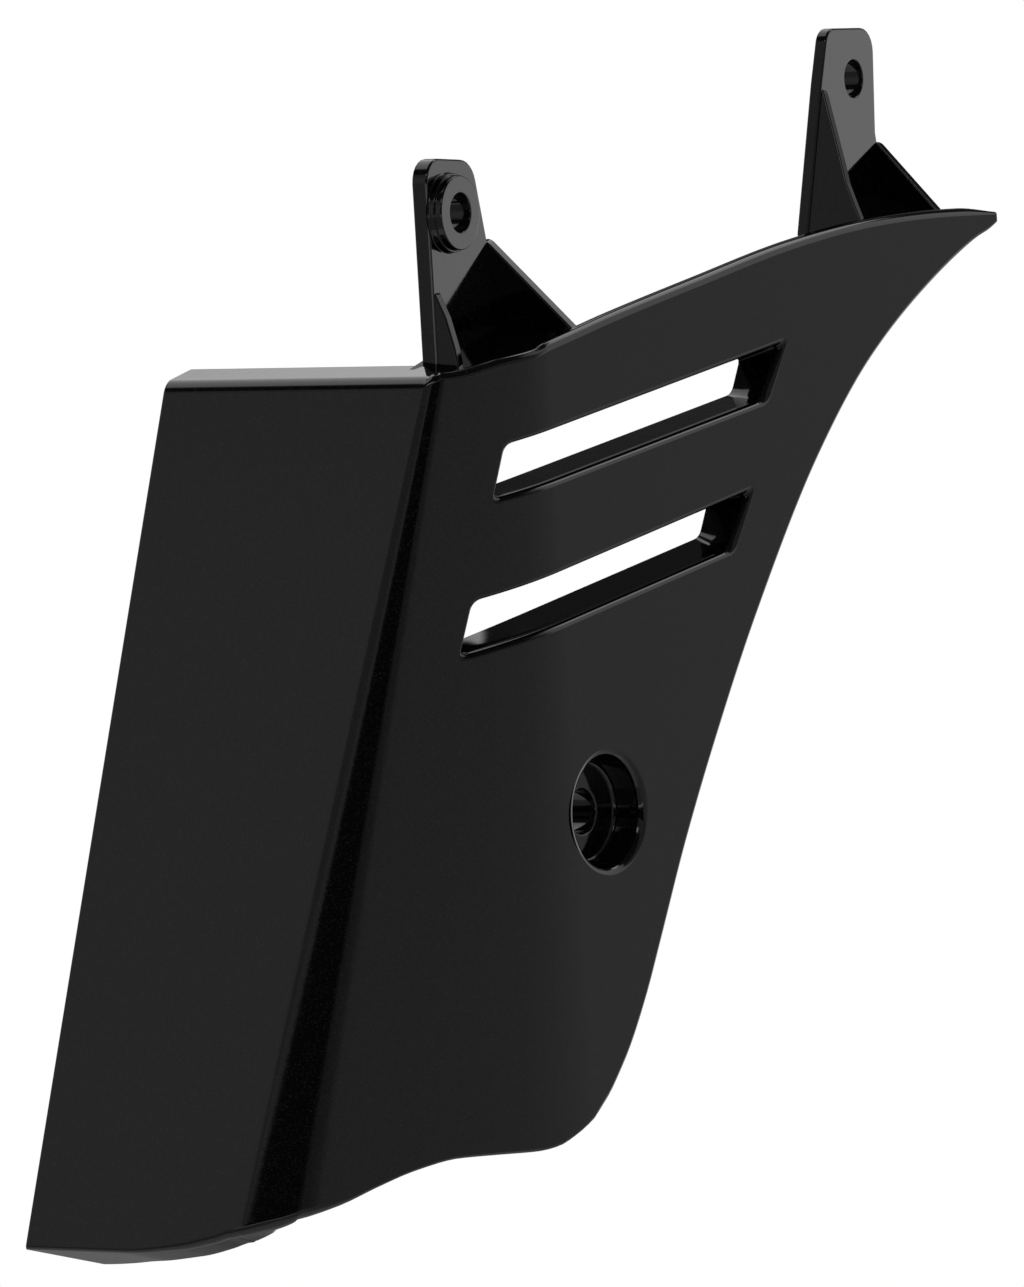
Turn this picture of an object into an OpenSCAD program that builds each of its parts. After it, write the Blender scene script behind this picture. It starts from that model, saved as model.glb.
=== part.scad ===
// Fork cover, left hand: one moulded shell with a broad front panel, a conical
// corner and a long side panel that sweeps up to a point, with turned-in lips,
// two ducted cooling slots, a recessed screw seat and two bolt tabs.
// Frame: origin on the axis of the front tab's bolt hole, at the plate's outer
// face; +X outward along the bolt holes, +Y to the rear, +Z up. Millimetres.

/* [Shell] */
// wall thickness
wall = 2.5; // [1.8:0.1:3.2]
// height of the front panel's upper fold line
top_z = -32; // [-36:0.5:-28]
// height of the front panel's lower fold line
low_z = -184.1; // [-196:0.5:-172]
// lean of the front panel, its foot to the front
front_rake = 10; // [7:0.5:13]
// front panel's free edge at the upper fold line
edge_x_top = -51.5; // [-60:0.5:-40]
// front panel's free edge at the lower fold line
edge_x_low = -63.4; // [-72:0.5:-50]
// flare of the side panel from straight back
side_flare = 6.9; // [4:0.1:9]
// outward position of the side panel abreast of the front bolt
side_x = 14.84; // [13:0.1:18]
// tight corner radius near the top
corner_r_top = 4.7; // [4.2:0.1:7]
// tight corner radius near the foot
corner_r_low = 13.3; // [10:0.1:18]
// easy radius behind the corner near the top
cheek_r_top = 45; // [38:1:50]
// easy radius behind the corner near the foot
cheek_r_low = 102; // [90:1:110]

/* [Lips] */
// depth of the upper lip behind the front panel
lip_depth = 8.6; // [6:0.1:11]
// climb of the upper lip towards the inside
lip_climb = 18; // [8:1:24]
// edge radius of the upper lip on the front panel
lip_r = 2.7; // [2:0.1:3.5]
// edge radius along the side panel's top
side_edge_r = 1.5; // [1:0.1:2]
// depth of the lower lip at the free edge
foot_depth = 28; // [20:0.5:34]
// depth of the lower lip at the corner
foot_depth_corner = 8; // [6:0.5:10]
// fall of the lower lip towards the inside
foot_fall = 8.5; // [4:0.5:12]

/* [Slots] */
// front end of the upper slot's upper line, behind the origin
upper_slot_front = -2.2; // [-3:0.2:6]
// rear end of the upper slot's upper line
upper_slot_rear = 81.1; // [60:0.5:84]
// height of the upper slot's upper line abreast of the origin
upper_slot_z = -40.2; // [-42:0.2:-39]
// climb of the upper slot to the rear
upper_slot_rise = 13.9; // [12:0.1:14.5]
// front end of the lower slot's upper line
lower_slot_front = -8.2; // [-9:0.2:0]
// rear end of the lower slot's upper line
lower_slot_rear = 70.9; // [50:0.5:72]
// height of the lower slot's upper line abreast of the origin
lower_slot_z = -66.5; // [-70:0.2:-64]
// climb of the lower slot to the rear
lower_slot_rise = 15; // [13.5:0.1:15.5]
// height of both slots at the face
slot_height = 11.2; // [10:0.2:13]
// height of both slots at the ducts' inner ends
slot_gap = 5.8; // [5:0.1:7]
// depth of the slot ducts behind the side panel
duct_depth = 8; // [7:0.5:11]
// wall of the slot ducts
duct_wall = 1.8; // [1.4:0.1:2.4]
// edge radius on the slots' long sides
slot_r = 1.1; // [0.8:0.1:1.4]
// edge radius at the slots' rear ends
slot_end_r = 2; // [1.4:0.1:2.6]

/* [Screw seat] */
// seat centre behind the origin
seat_y = 26.4; // [24:0.2:32]
// seat centre height
seat_z = -107.2; // [-130:0.5:-98]
// seat rim diameter
seat_d = 20.3; // [18:0.1:24]
// seat depth
seat_depth = 6.2; // [5:0.1:9]
// screw hole diameter
screw_d = 8; // [6:0.1:9]
// screw hole length through the seat's boss
screw_len = 7; // [5.5:0.5:12]

/* [Front tab] */
// front bolt hole diameter
front_bolt_d = 7; // [6:0.1:8]
// front tab plate thickness
front_plate = 3.2; // [2.6:0.1:4]
// stand-off boss diameter
boss_d = 14.2; // [12:0.1:15]
// stand-off boss height
boss_h = 2.6; // [1.6:0.1:4]
// height of the plate's top above the bolt
front_top = 9.5; // [8.5:0.1:14]
// rib thickness of both tabs
rib = 2.0; // [1.6:0.1:2.6]

/* [Rear tab] */
// outward position of the rear plate's outer face
rear_x = 13.9; // [12:0.1:16]
// rear bolt hole behind the front one
rear_y = 125; // [123:0.5:127]
// rear bolt hole above the front one
rear_z = 29.5; // [26:0.5:36]
// rear bolt hole diameter
rear_bolt_d = 7; // [6:0.1:8]
// rear tab plate thickness
rear_plate = 2.4; // [2:0.1:3.4]
// height of the plate's top above the rear bolt
rear_top = 9.8; // [8.5:0.1:13]

/* [Hidden] */

black = [0.02, 0.02, 0.022];
turn = 48;
phi_side = 90 - side_flare;
side_n = [cos(side_flare), -sin(side_flare)];
side_t = [sin(side_flare), cos(side_flare)];
z_top_ref = -42;
z_low_ref = -166;
front_y0 = -14.25;
z_front_ref = -32;

// straight-line value between the two reference heights
function between(z, a, b) = a + (b - a) * (z - z_top_ref) / (z_low_ref - z_top_ref);
function corner_r(z) = between(z, corner_r_top, corner_r_low);
function cheek_r(z) = between(z, cheek_r_top, cheek_r_low);
function front_y(z) = front_y0 + tan(front_rake) * (z - z_front_ref);
function edge_x(z) = edge_x_top + (edge_x_low - edge_x_top) * (z - top_z) / (low_z - top_z);
function tan_1(z) = corner_r(z) * tan(turn / 2);
function tan_2(z) = cheek_r(z) * tan((phi_side - turn) / 2);
function vertex(z) = [side_x + tan(side_flare) * front_y(z), front_y(z)];
// where the corner starts on the front panel and ends on the side panel
function corner_start(z) = vertex(z)
    - [1, 0] * ((tan_1(z) + tan_2(z)) * sin(phi_side - turn) / sin(phi_side) + tan_1(z));
function corner_end(z) = vertex(z)
    + side_t * ((tan_1(z) + tan_2(z)) * sin(turn) / sin(phi_side) + tan_2(z));
function corner_c(z) = corner_start(z) + [0, corner_r(z)];
function cheek_c(z) = corner_end(z) - side_n * cheek_r(z);

// a station v runs -1..0 over the front panel, 0..phi_side degrees round the
// corner, and on in millimetres along the side panel
function normal_angle(v) = v <= 0 ? 0 : v < phi_side ? v : phi_side;
function inward(v) = [-sin(normal_angle(v)), cos(normal_angle(v))];
function face_point(v, z) =
    v <= 0 ? [edge_x(z), front_y(z)] * -v + corner_start(z) * (1 + v) :
    v <= turn ? corner_c(z) + corner_r(z) * [sin(v), -cos(v)] :
    v <= phi_side ? cheek_c(z) + cheek_r(z) * [sin(v), -cos(v)] :
    corner_end(z) + side_t * (v - phi_side);

// smooth curve through knots [v, value] that never overshoots them
function secant(k, i) = (k[i + 1][1] - k[i][1]) / (k[i + 1][0] - k[i][0]);
function knot_slope(k, i) =
    i == 0 ? secant(k, 0) :
    i == len(k) - 1 ? secant(k, i - 1) :
    let (a = secant(k, i - 1), b = secant(k, i)) a * b <= 0 ? 0 : 2 * a * b / (a + b);
function span_of(k, v) = v <= k[0][0] ? 0 : max([for (j = [0:len(k) - 2]) if (v >= k[j][0]) j]);
function curve(k, v) =
    let (
        i = span_of(k, v),
        h = k[i + 1][0] - k[i][0],
        t = min(1, max(0, (v - k[i][0]) / h)),
        a = knot_slope(k, i) * h,
        b = knot_slope(k, i + 1) * h
    )
    (2 * t * t * t - 3 * t * t + 1) * k[i][1] + (t * t * t - 2 * t * t + t) * a
    + (3 * t * t - 2 * t * t * t) * k[i + 1][1] + (t * t * t - t * t) * b;

v_end = 225.6;
// upper fold line: level, then up round the corner and along the side to the point
upper = [
    [-1, top_z], [-0.06, top_z], [22, top_z + 0.8], [50, top_z + 1.8], [65, top_z + 4.3],
    [79, top_z + 6.3], [89.5, top_z + 9.1], [103, top_z + 13], [130, top_z + 20.2],
    [160, top_z + 27.9], [181, top_z + 32], [194, top_z + 33.8], [207, top_z + 35.1], [v_end, top_z + 36.3]
];
// lower fold line: level, up over the corner, a low tail, then the long sweep to the point
lower = [
    [-1, low_z], [-0.5, low_z + 0.05], [-0.27, low_z + 1.1], [-0.06, low_z + 3.1], [8, low_z + 4.7],
    [20, low_z + 5.5], [47, low_z + 7.3], [51.8, low_z + 9.2], [55.7, low_z + 12], [59.8, low_z + 14.7],
    [64.4, low_z + 16.5], [69.2, low_z + 16.9], [74.5, low_z + 17.2], [77.4, low_z + 17.9],
    [80.5, low_z + 20], [84.6, low_z + 23.8], [87.9, low_z + 26.7], [91.2, low_z + 30.4],
    [94.7, low_z + 34.8], [100.7, low_z + 44.3], [105.5, low_z + 53.3], [114.9, low_z + 71.2],
    [125.5, low_z + 89.2], [140.9, low_z + 112.9], [163.2, low_z + 142.3], [181.9, low_z + 161],
    [203.7, low_z + 176.3], [218.5, low_z + 184.3], [223, low_z + 186], [v_end, low_z + 187.3]
];
upper_depth = [
    [-1, lip_depth], [-0.12, lip_depth], [0, corner_r_top - 0.5], [12, 3.6], [48, 3.2],
    [phi_side, wall + 0.3], [v_end, wall + 0.3]
];
upper_climb = [[-1, lip_climb], [-0.1, lip_climb], [30, 6], [60, 0], [v_end, 0]];
upper_r = [[-1, lip_r], [-0.1, lip_r], [50, side_edge_r], [215, side_edge_r], [v_end, 0.5]];
foot_step = foot_depth - foot_depth_corner;
lower_depth = [
    [-1, foot_depth], [-0.94, foot_depth_corner + 0.95 * foot_step],
    [-0.77, foot_depth_corner + 0.74 * foot_step], [-0.59, foot_depth_corner + 0.45 * foot_step],
    [-0.42, foot_depth_corner + 0.25 * foot_step], [-0.27, foot_depth_corner + 0.15 * foot_step],
    [0, foot_depth_corner + 0.5], [30, foot_depth_corner],
    [48, foot_depth_corner - 1], [60, 4], [phi_side, 3.4], [v_end, wall + 0.3]
];
lower_fall = [[-1, foot_fall], [20, foot_fall], [65, 0], [v_end, 0]];
lower_r = [[-1, 1], [-0.5, 1.1], [-0.06, 2.2], [20, 2.4], [45, 2.2], [58, 0.8], [210, 0.8], [v_end, 0.4]];

// steepness of a fold line along the side panel, as the stretch of its edge sizes
function stretch(k, v) = v <= phi_side ? 1
    : let (m = (curve(k, v + 0.5) - curve(k, v - 0.5)) / 1) sqrt(1 + m * m);

// closed section at station v as [depth, height] points; pull draws the face in
function lip_points(r, climb, depth, z, s, k, pull) =
    let (d1 = r * (1 - sin(climb)))
    [for (i = [0:3]) let (b = (90 - climb) * i / 3, d = r * (1 - cos(b)))
        [pull + d * (d1 - pull) / d1, z + s * k * r * sin(b)]];
function section(v, pull) =
    let (
        zu = curve(upper, v),
        zl = curve(lower, v),
        ku = stretch(upper, v),
        kl = stretch(lower, v),
        ru = curve(upper_r, v),
        rl = curve(lower_r, v),
        cu = curve(upper_climb, v),
        cl = curve(lower_fall, v),
        du = curve(upper_depth, v),
        dl = curve(lower_depth, v),
        top = lip_points(ru, cu, du, zu, 1, ku, pull),
        low = lip_points(rl, cl, dl, zl, -1, kl, pull),
        zu2 = top[3][1] + (du - top[3][0]) * tan(cu),
        zl2 = low[3][1] - (dl - low[3][0]) * tan(cl),
        mid = (top[3][1] + low[3][1]) / 2,
        fu = min(1, (du - wall) / 2),
        fl = min(1, (dl - wall) / 2),
        nu = max(zu2 - wall * ku / cos(cu), mid + 0.3),
        nl = min(zl2 + wall * kl / cos(cl), mid - 0.3),
        wu = max(nu - (du - wall) * tan(cu), mid + 0.25),
        wl = min(nl + (dl - wall) * tan(cl), mid - 0.25)
    )
    [
        [dl, zl2], low[3], low[2], low[1], low[0],
        top[0], top[1], top[2], top[3], [du, zu2],
        [du, nu], [wall + fu, max(wu + fu * tan(cu), mid + 0.25)],
        [wall, max(wu - fu * ku, mid + 0.2)],
        [wall, min(wl + fl * kl, mid - 0.2)],
        [wall + fl, min(wl - fl * tan(cl), mid - 0.25)], [dl, nl]
    ];
edge_v = 0.6 / 52;
stations = concat(
    [[-1, 0.5], [-1 + 0.3 * edge_v, 0.15], [-1 + edge_v, 0]],
    [for (v = [-0.9, -0.8, -0.7, -0.6, -0.5, -0.4, -0.3, -0.2, -0.12, -0.06]) [v, 0]],
    [for (i = [0:8]) [turn * i / 8, 0]],
    [for (i = [1:15]) [turn + (phi_side - turn) * i / 15, 0]],
    [for (v = [85.5:3.2:111]) [v, 0]],
    [for (v = [114:6:204]) [v, 0]],
    [for (v = [208:4:220]) [v, 0]],
    [[222.5, 0], [224.4, 0], [v_end, 0]]
);
n_sec = 16;
function ring(s) = let (v = s[0], w = inward(v))
    [for (p = section(v, s[1])) let (q = face_point(v, p[1]) + w * p[0]) [q[0], q[1], p[1]]];
shell_points = [for (s = stations) each ring(s)];
// the long outer and inner faces are flat between stations, the rest is cut in triangles
function flat(j) = j == 4 || j == 12;
// both ends are cut in triangles between the section's outer and inner points
end_cuts = [
    [0, 15, 1], [1, 15, 14], [1, 14, 2], [2, 14, 3], [3, 14, 13], [3, 13, 4], [4, 13, 12],
    [4, 12, 5], [5, 12, 6], [6, 12, 11], [6, 11, 7], [7, 11, 8], [8, 11, 10], [8, 10, 9]
];
shell_faces = concat(
    [for (c = end_cuts) [c[0], c[1], c[2]]],
    [for (c = end_cuts) [for (k = [2, 1, 0]) (len(stations) - 1) * n_sec + c[k]]],
    [for (i = [0:len(stations) - 2]) for (j = [0:n_sec - 1])
        let (a = i * n_sec + j, b = i * n_sec + (j + 1) % n_sec, c = b + n_sec, d = a + n_sec)
        each flat(j) ? [[a, b, c, d]] : [[a, c, d], [a, b, c]]]
);

module shell() {
    polyhedron(points = shell_points, faces = shell_faces, convexity = 8);
}

// outward position of the shell's face at a point of the side panel or its cheek
function face_x(y, z) =
    y >= corner_end(z)[1] ? side_x + tan(side_flare) * y :
    let (c = cheek_c(z), d = y - c[1]) c[0] + sqrt(pow(cheek_r(z), 2) - d * d);
// a corner loop [upper rear, upper front, lower front, lower rear] set in by rear, front, side sizes
function set_in(q, rear, front, side) =
    let (up = (q[0] - q[1]) / norm(q[0] - q[1]), lo = (q[3] - q[2]) / norm(q[3] - q[2]))
    [q[0] - up * rear - [0, side], q[1] + up * front - [0, side],
     q[2] + lo * front + [0, side], q[3] - lo * rear + [0, side]];
// one corner of a loop eased by radius r, as 4 points
function eased_corner(q, i, r) =
    let (
        p = q[i],
        a = (q[(i + 3) % 4] - p) / norm(q[(i + 3) % 4] - p),
        b = (q[(i + 1) % 4] - p) / norm(q[(i + 1) % 4] - p)
    )
    [for (t = [0:3]) let (s = t / 3) p + a * r * pow(1 - s, 2) + b * r * pow(s, 2)];
// the whole loop, with points along its long sides that follow the cheek
side_stops = [0.35, 0.6, 0.75, 0.86, 0.94];
function eased(q, r) = concat(
    eased_corner(q, 0, r),
    [for (t = side_stops) q[0] + (q[1] - q[0]) * t],
    eased_corner(q, 1, r),
    eased_corner(q, 2, r),
    [for (i = [1:len(side_stops)]) let (t = side_stops[len(side_stops) - i]) q[2] + (q[3] - q[2]) * (1 - t)],
    eased_corner(q, 3, r)
);
// a tapered solid through the slot: rows of [loop, depth behind the face]
function loop_at(loop, depth) = [for (p = loop)
    [face_x(p[0], p[1]) - side_n[0] * depth, p[0] - side_n[1] * depth, p[1]]];
module tapered(rows) {
    n = len(rows[0]);
    m = len(rows);
    polyhedron(
        points = [for (r = rows) each r],
        faces = concat(
            [for (i = [0:n / 2 - 2]) each [[i, n - 1 - i, i + 1], [i + 1, n - 1 - i, n - 2 - i]]],
            [for (i = [0:n / 2 - 2]) let (e = (m - 1) * n)
                each [[e + i, e + i + 1, e + n - 1 - i], [e + i + 1, e + n - 2 - i, e + n - 1 - i]]],
            [for (k = [0:m - 2]) for (i = [0:n - 1])
                let (a = k * n + i, b = k * n + (i + 1) % n, c = b + n, d = a + n)
                each [[a, c, d], [a, b, c]]]
        ),
        convexity = 4
    );
}

// slot corners [upper rear, upper front, lower front, lower rear] as [y, z]
function corners(y0, y1, z0, rise, high, lean0, lean1) =
    let (g = tan(rise), a = y0 - lean0, b = y1 - lean1)
    [[y1, z0 + g * y1], [y0, z0 + g * y0], [a, z0 - high + g * a], [b, z0 - high + g * b]];
front_lean = 2.4;
rear_lean = 6.4;
rim_depth = 1.4;
upper_mouth = corners(upper_slot_front, upper_slot_rear, upper_slot_z, upper_slot_rise,
    slot_height, front_lean, rear_lean);
lower_mouth = corners(lower_slot_front, lower_slot_rear, lower_slot_z, lower_slot_rise,
    slot_height, front_lean, rear_lean);
// the ducts narrow inwards, more from above on the upper one
upper_throat = corners(upper_slot_front + 2.2, upper_slot_rear - 5, upper_slot_z - 3.1,
    upper_slot_rise, slot_gap, front_lean / 2, rear_lean / 3);
lower_throat = corners(lower_slot_front + 2.2, lower_slot_rear - 4.6, lower_slot_z - 2,
    lower_slot_rise, slot_gap, front_lean / 2, rear_lean / 3);
function rim(q, t) = set_in(q, slot_end_r * sin(t), slot_r * sin(t), slot_r * sin(t));
function flat_at(loop, depth) = [for (p = loop)
    [side_x + tan(side_flare) * p[0] - side_n[0] * depth, p[0] - side_n[1] * depth, p[1]]];
module slot_cut(mouth, throat) {
    tapered(concat(
        [loop_at(eased(set_in(mouth, -2, -1, -1), 2), -3)],
        [loop_at(eased(set_in(mouth, -1.2 * slot_end_r / 2, -0.6, -0.7), 2), -0.25)],
        [for (t = [30, 60, 90]) loop_at(eased(rim(mouth, t), 2), rim_depth * (1 - cos(t)))],
        [flat_at(eased(throat, 1.6), duct_depth + 0.8)]
    ));
}
module slot_duct(mouth, throat) {
    tapered([
        loop_at(eased(set_in(rim(mouth, 90), -duct_wall, -duct_wall, -duct_wall), 2.5), 1.2),
        flat_at(eased(set_in(throat, -duct_wall, -duct_wall, -duct_wall), 2.5), duct_depth)
    ]);
}

// screw seat: a cup with a rounded rim and a drilled boss behind it
seat_x = side_x + tan(side_flare) * seat_y;
rim_r = 1.6;
seat_r = seat_d / 2 - 0.2;
module at_seat() translate([seat_x, seat_y, seat_z]) rotate([0, 0, -side_flare]) rotate([0, 90, 0]) children();
module seat_body() at_seat() {
    translate([0, 0, -seat_depth - 2.2]) cylinder(r = seat_r + 1.8, h = seat_depth + 1.2, $fn = 64);
    translate([0, 0, -seat_depth - screw_len]) cylinder(d = screw_d + 5, h = screw_len, $fn = 48);
}
module seat_cut() at_seat() {
    rotate_extrude($fn = 64) difference() {
        translate([0, -rim_r]) square([seat_r + rim_r, rim_r + 2]);
        translate([seat_r + rim_r, -rim_r + 0.05]) circle(r = rim_r, $fn = 48);
        translate([seat_r + rim_r - 0.3, -rim_r - 1]) square([1, rim_r + 1]);
    }
    translate([0, 0, -seat_depth]) cylinder(r1 = seat_r - 0.7, r2 = seat_r, h = seat_depth - rim_r + 0.1, $fn = 64);
    translate([0, 0, -seat_depth - screw_len - 1]) cylinder(d = screw_d, h = screw_len + 2, $fn = 48);
}

// corners [y, z, radius] eased by arcs of six steps
function easy_corners(q) = [for (i = [0:len(q) - 1])
    let (
        n = len(q),
        p = [q[i][0], q[i][1]],
        f = [q[(i + n - 1) % n][0], q[(i + n - 1) % n][1]] - p,
        g = [q[(i + 1) % n][0], q[(i + 1) % n][1]] - p,
        a = f / norm(f),
        b = g / norm(g),
        half = acos(a * b) / 2,
        c = p + (a + b) / norm(a + b) * q[i][2] / sin(half),
        sweep = 180 - 2 * half,
        m = -(a + b) / norm(a + b),
        side = m[0] * b[1] - m[1] * b[0] > 0 ? 1 : -1
    )
    each q[i][2] == 0 ? [p] : [for (t = [0:6]) let (w = side * sweep * (t / 6 - 0.5))
        c + q[i][2] * [m[0] * cos(w) - m[1] * sin(w), m[0] * sin(w) + m[1] * cos(w)]]];
// a plate in the y-z plane from x0, thick towards +X
module plate(outline, x0, thick)
    translate([x0, 0, 0]) rotate([90, 0, 90]) linear_extrude(height = thick) polygon(outline);
// a rib in the x-z plane through [y, z], leaning and turned, thick towards +Y
module rib_at(y, z, lean, outline)
    translate([0, y, z]) rotate([lean, 0, 0]) translate([0, rib, 0]) rotate([90, 0, 0])
        linear_extrude(height = rib) polygon(outline);
// a sloping shelf over a plan outline: upper face at a + b * x + c * y
module shelf(plan, a, b, c, thick) {
    n = len(plan);
    polyhedron(
        points = concat(
            [for (p = plan) [p[0], p[1], a + b * p[0] + c * p[1]]],
            [for (p = plan) [p[0], p[1], a + b * p[0] + c * p[1] - thick]]
        ),
        faces = concat(
            [[for (i = [0:n - 1]) n - 1 - i]],
            [[for (i = [0:n - 1]) n + i]],
            [for (i = [0:n - 1]) let (j = (i + 1) % n) [i, j, n + j, n + i]]
        )
    );
}
function rim_plan(stops, depth) = [for (v = stops) face_point(v, curve(upper, v)) + inward(v) * depth];

module front_tab() {
    back = front_plate - 0.5;
    plate(easy_corners([
        [-3.6, -28.1, 0], [-5.2, -13.9, 0], [-7.9, front_top, 4.2],
        [8.4, front_top + 0.3, 5.2], [14.1, -5.6, 0], [18.9, -19.9, 0]
    ]), -front_plate, front_plate);
    rotate([0, 90, 0]) cylinder(d = boss_d, h = boss_h / 2, $fn = 64);
    rotate([0, 90, 0]) cylinder(d = boss_d - 0.8, h = boss_h, $fn = 64);
    rib_at(-4.8, -14.3, 6.4, [[-back, 0], [0, 0], [2.1, -4.6], [3.6, -10], [4.3, -14.4], [-back, -14.4]]);
    rib_at(13.3, -4.6, 17.2, [[-back, 0], [0, 0], [15, -16.6], [15, -18], [-back, -16]]);
    shelf(concat(
        [[-front_plate - 0.3, 20.6], [-front_plate - 0.3, -7.5]],
        rim_plan([24, 48, 57, 66, 75, 83, 89, 95], 2.2)
    ), -25.8, -0.177, 0.36, 2.6);
}
module rear_tab() {
    back = rear_x - rear_plate + 0.5;
    plate(easy_corners([
        [rear_y - 17, rear_z - 25.3, 0], [rear_y - 12.6, rear_z - 1.6, 0], [rear_y - 10.2, rear_z + rear_top - 0.9, 3.4],
        [rear_y + 7.6, rear_z + rear_top + 0.2, 4.6], [rear_y + 8.7, rear_z - 9.8, 0],
        [rear_y + 9.6, rear_z - 12.5, 0], [rear_y + 9.6, rear_z - 22.4, 0]
    ]), rear_x - rear_plate, rear_plate);
    rib_at(rear_y - 12.2, rear_z - 2, -10.5, [
        [back, 0], [rear_x, 0], [rear_x + 2.8, -7.3], [rear_x + 5.2, -13.6], [rear_x + 7, -18.6],
        [rear_x + 9.5, -23.4], [rear_x + 11, -26.2], [rear_x + 11, -27.2], [back, -24.6]
    ]);
    translate([rear_x, rear_y + 8.6, 0]) rotate([0, 0, -side_flare]) translate([-rear_x, 0, 0])
    rib_at(0, rear_z, 0, [
        [back, -11.5], [rear_x, -11.5], [rear_x + 14.4, -25.1], [rear_x + 14.4, -26.5], [back, -23.5]
    ]);
    shelf([
        [rear_x - rear_plate - 0.3, rear_y + 10.9], [rear_x - rear_plate - 0.3, rear_y - 17.6],
        [side_x + tan(side_flare) * (rear_y - 17.6) - 1.3, rear_y - 17.6],
        [side_x + tan(side_flare) * (rear_y + 8.2) - 1.3, rear_y + 8.2]
    ], -1.5, -0.29, 0.1, 2.6);
}
module bolt_holes() {
    translate([-front_plate - 1, 0, 0]) rotate([0, 90, 0]) cylinder(d = front_bolt_d, h = front_plate + boss_h + 2, $fn = 48);
    translate([rear_x - rear_plate - 1, rear_y, rear_z]) rotate([0, 90, 0])
        cylinder(d = rear_bolt_d, h = rear_plate + 2, $fn = 48);
}

module fork_cover() color(black) difference() {
    union() {
        shell();
        slot_duct(upper_mouth, upper_throat);
        slot_duct(lower_mouth, lower_throat);
        seat_body();
        front_tab();
        rear_tab();
    }
    slot_cut(upper_mouth, upper_throat);
    slot_cut(lower_mouth, lower_throat);
    seat_cut();
    bolt_holes();
}

fork_cover();
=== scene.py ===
"""Studio picture of a left-hand fork cover in high-gloss black plastic.

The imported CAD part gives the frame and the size. The shell and its two bolt tabs are rebuilt here
as one fine mesh from the same dimensions, with rounded edges and exact normals, so that the gloss
shows clean reflections. Lengths in the shape code are millimetres in the part's own frame.
"""

import math

import bpy
import numpy as np
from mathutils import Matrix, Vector
from mathutils.geometry import delaunay_2d_cdt


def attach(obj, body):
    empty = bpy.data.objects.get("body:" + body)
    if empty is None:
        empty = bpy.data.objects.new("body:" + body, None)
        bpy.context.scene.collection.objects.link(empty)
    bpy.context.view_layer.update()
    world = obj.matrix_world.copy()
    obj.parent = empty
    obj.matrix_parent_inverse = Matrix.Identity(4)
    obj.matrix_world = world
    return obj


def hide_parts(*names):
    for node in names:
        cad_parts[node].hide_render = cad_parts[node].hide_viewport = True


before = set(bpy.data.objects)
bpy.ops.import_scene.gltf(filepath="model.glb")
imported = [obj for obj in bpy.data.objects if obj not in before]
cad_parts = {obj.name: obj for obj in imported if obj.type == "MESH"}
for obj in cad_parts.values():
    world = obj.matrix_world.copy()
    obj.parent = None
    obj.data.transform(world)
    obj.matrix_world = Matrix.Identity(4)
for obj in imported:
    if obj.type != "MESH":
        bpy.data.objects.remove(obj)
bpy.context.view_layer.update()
scene = bpy.context.scene
MM = 0.001

# Camera: level, to the front and left side of the part, with a long lens
CAMERA_PLACE = (0.954997, -1.586041, -0.076929)
CAMERA_TURN = math.radians(30.7)
lens = bpy.data.cameras.new("camera")
lens.lens = 289.8
lens.sensor_width = 36
lens.clip_end = 50
camera = bpy.data.objects.new("camera", lens)
camera.location = CAMERA_PLACE
camera.rotation_euler = (math.radians(90), 0, CAMERA_TURN)
scene.collection.objects.link(camera)
scene.camera = camera
scene.view_settings.view_transform = "Standard"

# Shell dimensions
WALL = 2.5
TOP_Z = -32
LOW_Z = -184.1
FRONT_RAKE = math.radians(10)
FRONT_Y0 = -14.25
EDGE_X_TOP = -51.5
EDGE_X_LOW = -63.4
FLARE = math.radians(6.9)
SIDE_X = 14.84
CORNER_R = (4.7, 13.3)
CHEEK_R = (45, 102)
REF_Z = (-42, -166)
TURN = 48
PHI_SIDE = 90 - math.degrees(FLARE)
V_END = 225.6
EDGE_R = 0.5
EDGE_V = 0.6 / 52
SIDE_N = np.array([math.cos(FLARE), -math.sin(FLARE), 0])
SIDE_T = np.array([math.sin(FLARE), math.cos(FLARE), 0])
UP = np.array([0, 0, 1.0])


class Curve:
    """Smooth curve through knots (v, value) that never overshoots them."""

    def __init__(self, knots):
        self.x, self.y = np.array(knots, float).T
        self.h = np.diff(self.x)
        sec = np.diff(self.y) / self.h
        a, b = sec[:-1], sec[1:]
        total = np.where(a + b == 0, 1, a + b)
        self.m = np.concatenate([sec[:1], np.where(a * b <= 0, 0, 2 * a * b / total), sec[-1:]])

    def __call__(self, v):
        v = np.clip(np.asarray(v, float), self.x[0], self.x[-1])
        i = np.clip(np.searchsorted(self.x, v, side="right") - 1, 0, len(self.h) - 1)
        t = (v - self.x[i]) / self.h[i]
        return ((2 * t**3 - 3 * t**2 + 1) * self.y[i] + (t**3 - 2 * t**2 + t) * self.h[i] * self.m[i]
                + (3 * t**2 - 2 * t**3) * self.y[i + 1] + (t**3 - t**2) * self.h[i] * self.m[i + 1])


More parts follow.
